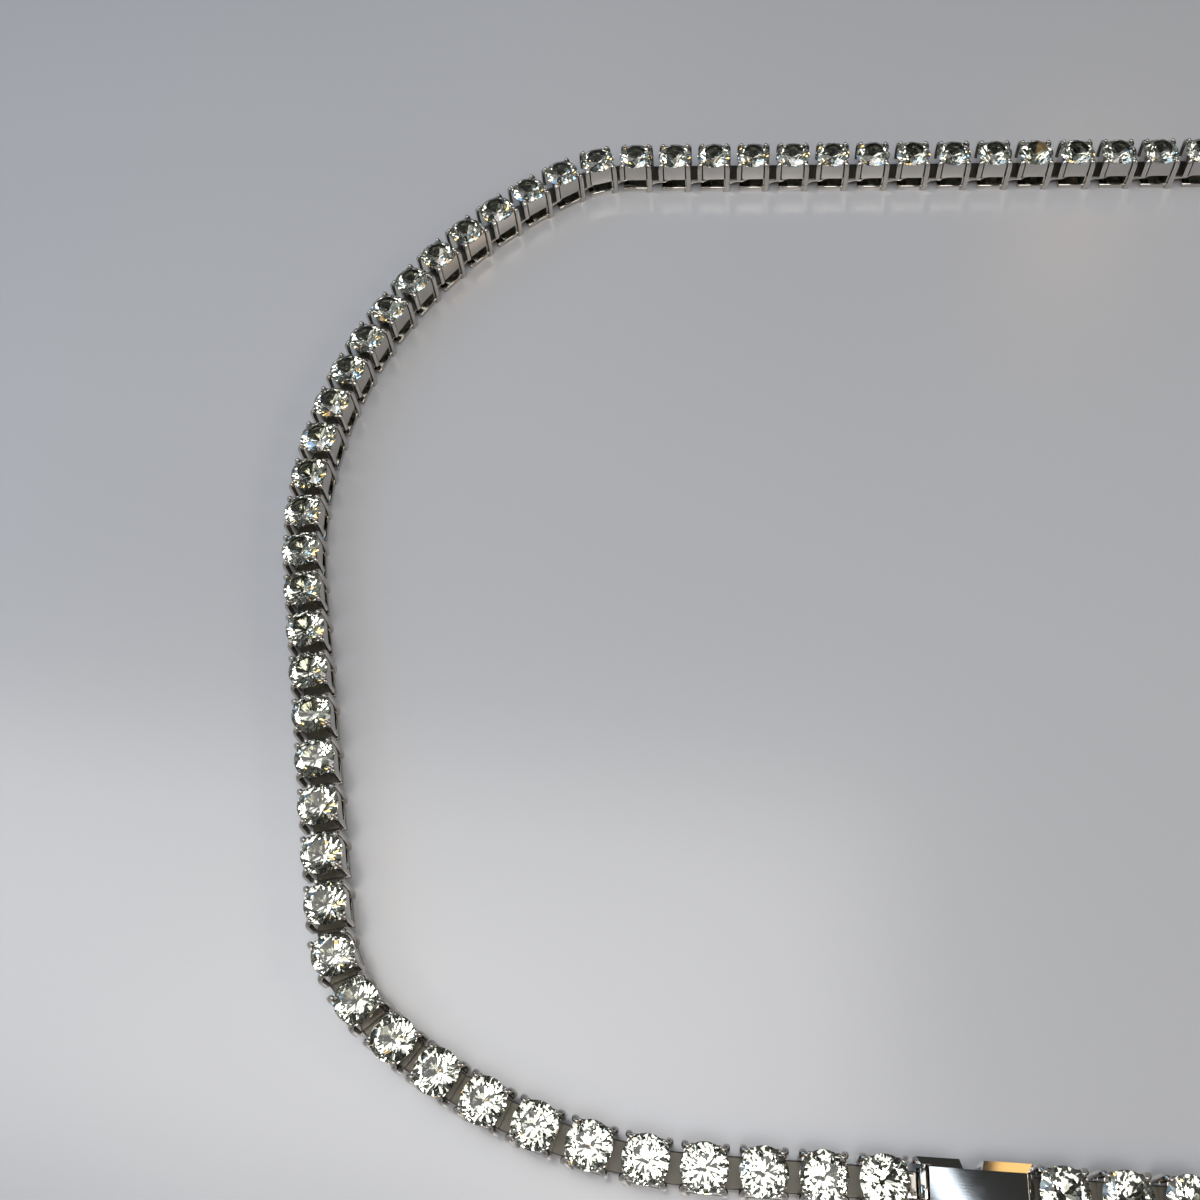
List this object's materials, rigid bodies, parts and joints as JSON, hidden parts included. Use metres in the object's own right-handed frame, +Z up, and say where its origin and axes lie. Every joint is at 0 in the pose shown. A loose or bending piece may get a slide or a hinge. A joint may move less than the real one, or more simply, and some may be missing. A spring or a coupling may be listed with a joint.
{
  "type": "tennis necklace",
  "caption": "Closed row of equal square claw-set round stones, linked flexibly, with a box-like fold-over clasp, lying flat in its worn outline.",
  "frame": {"origin": "on the surface that the necklace lies on, under the middle of the loop's box", "axes": "+Z up from the surface, +X across the loop's wider way, -Y towards the clasp"},
  "size_m": [0.137, 0.1183, 0.0047],
  "materials": {
    "rhodium_plated_metal": "polished, rhodium-plated",
    "crystal": "faceted and polished, colourless"
  },
  "bodies": {
    "row": {"setting_01": "rhodium_plated_metal", "stone_01": "crystal", "setting_02": "rhodium_plated_metal", "stone_02": "crystal", "setting_03": "rhodium_plated_metal", "stone_03": "crystal", "setting_04": "rhodium_plated_metal", "stone_04": "crystal", "setting_05": "rhodium_plated_metal", "stone_05": "crystal", "setting_06": "rhodium_plated_metal", "stone_06": "crystal", "setting_07": "rhodium_plated_metal", "stone_07": "crystal", "setting_08": "rhodium_plated_metal", "stone_08": "crystal", "setting_09": "rhodium_plated_metal", "stone_09": "crystal", "setting_10": "rhodium_plated_metal", "stone_10": "crystal", "links_11_to_15": "rhodium_plated_metal", "links_16_to_20": "rhodium_plated_metal", "links_21_to_25": "rhodium_plated_metal", "links_26_to_30": "rhodium_plated_metal", "links_31_to_35": "rhodium_plated_metal", "links_36_to_40": "rhodium_plated_metal", "links_41_to_45": "rhodium_plated_metal", "links_46_to_50": "rhodium_plated_metal", "links_51_to_55": "rhodium_plated_metal", "links_56_to_60": "rhodium_plated_metal", "links_61_to_65": "rhodium_plated_metal", "links_66_to_70": "rhodium_plated_metal", "links_71_to_75": "rhodium_plated_metal", "setting_76": "rhodium_plated_metal", "stone_76": "crystal", "setting_77": "rhodium_plated_metal", "stone_77": "crystal", "setting_78": "rhodium_plated_metal", "stone_78": "crystal", "setting_79": "rhodium_plated_metal", "stone_79": "crystal", "setting_80": "rhodium_plated_metal", "stone_80": "crystal", "setting_81": "rhodium_plated_metal", "stone_81": "crystal", "setting_82": "rhodium_plated_metal", "stone_82": "crystal", "setting_83": "rhodium_plated_metal", "stone_83": "crystal", "setting_84": "rhodium_plated_metal", "stone_84": "crystal", "setting_85": "rhodium_plated_metal", "stone_85": "crystal", "clasp_base": "rhodium_plated_metal", "clasp_pin": "rhodium_plated_metal"},
    "lever": {"clasp_lever": "rhodium_plated_metal"}
  },
  "joints": [
    {"name": "clasp_hinge", "type": "hinge", "parent": "row", "child": "lever", "pos_m": [-0.00375, -0.05713, 0.0031], "axis": [0, -1, 0], "range_deg": [0, 100]}
  ]
}
